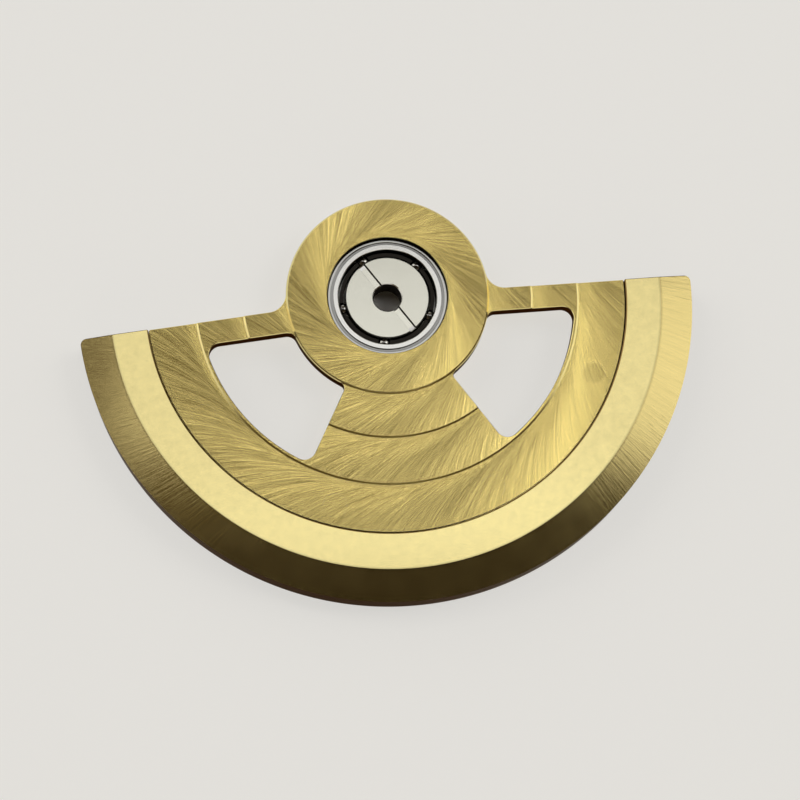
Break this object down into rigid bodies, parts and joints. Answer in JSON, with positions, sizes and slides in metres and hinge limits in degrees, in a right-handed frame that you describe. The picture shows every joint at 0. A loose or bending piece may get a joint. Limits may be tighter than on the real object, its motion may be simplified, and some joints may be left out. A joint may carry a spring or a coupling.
{
  "type": "automatic watch winding rotor",
  "caption": "Half-disc winding rotor: striped, windowed plate with a bevelled heavy rim, turning on a ball bearing with a drive gear.",
  "frame": {"origin": "on the turning axis, in the plane where the inner race sits on the movement", "axes": "+Z along the turning axis, out of the movement towards the side that is seen; -Y along the middle of the heavy side; X across the weight's two ends"},
  "size_m": [0.026, 0.0173, 0.0016],
  "materials": {
    "striped_brass": "gilt, circular stripes",
    "turned_brass": "gilt, fine turned and polished",
    "rivet_brass": "gilt, finished flush",
    "gear_brass": "gilt, machined",
    "polished_steel": "polished",
    "satin_steel": "fine satin",
    "dark_steel": "oiled, dark",
    "ball_steel": "polished"
  },
  "bodies": {
    "inner_race": {"inner_race_upper": "satin_steel", "inner_race_lower": "satin_steel"},
    "weight": {"carrier_plate": "striped_brass", "heavy_rim": "turned_brass", "rim_rivet_1": "rivet_brass", "rim_rivet_2": "rivet_brass", "rim_rivet_3": "rivet_brass", "rim_rivet_4": "rivet_brass", "drive_gear": "gear_brass", "bearing_outer_race": "polished_steel"},
    "cage": {"ball_cage": "dark_steel"},
    "ball_1": {"bearing_ball_1": "ball_steel"},
    "ball_2": {"bearing_ball_2": "ball_steel"},
    "ball_3": {"bearing_ball_3": "ball_steel"},
    "ball_4": {"bearing_ball_4": "ball_steel"},
    "ball_5": {"bearing_ball_5": "ball_steel"}
  },
  "joints": [
    {"name": "weight_spin", "type": "hinge", "parent": "inner_race", "child": "weight", "pos_m": [0, 0, 0.00074], "axis": [0, 0, 1], "continuous": true},
    {"name": "cage_spin", "type": "hinge", "parent": "inner_race", "child": "cage", "pos_m": [0, 0, 0.00074], "axis": [0, 0, 1], "continuous": true},
    {"name": "ball_1_spin", "type": "hinge", "parent": "cage", "child": "ball_1", "pos_m": [0.00142, 0.00132, 0.00074], "axis": [0, 0, 1], "continuous": true},
    {"name": "ball_2_spin", "type": "hinge", "parent": "cage", "child": "ball_2", "pos_m": [-0.00082, 0.00175, 0.00074], "axis": [0, 0, 1], "continuous": true},
    {"name": "ball_3_spin", "type": "hinge", "parent": "cage", "child": "ball_3", "pos_m": [-0.00192, -0.00024, 0.00074], "axis": [0, 0, 1], "continuous": true},
    {"name": "ball_4_spin", "type": "hinge", "parent": "cage", "child": "ball_4", "pos_m": [-0.00037, -0.0019, 0.00074], "axis": [0, 0, 1], "continuous": true},
    {"name": "ball_5_spin", "type": "hinge", "parent": "cage", "child": "ball_5", "pos_m": [0.00169, -0.00094, 0.00074], "axis": [0, 0, 1], "continuous": true}
  ],
  "couplings": [
    {"joint": "cage_spin", "follows": "weight_spin", "ratio": 0.55116},
    {"joint": "ball_1_spin", "follows": "weight_spin", "ratio": 4.8355},
    {"joint": "ball_2_spin", "follows": "weight_spin", "ratio": 4.8355},
    {"joint": "ball_3_spin", "follows": "weight_spin", "ratio": 4.8355},
    {"joint": "ball_4_spin", "follows": "weight_spin", "ratio": 4.8355},
    {"joint": "ball_5_spin", "follows": "weight_spin", "ratio": 4.8355}
  ]
}
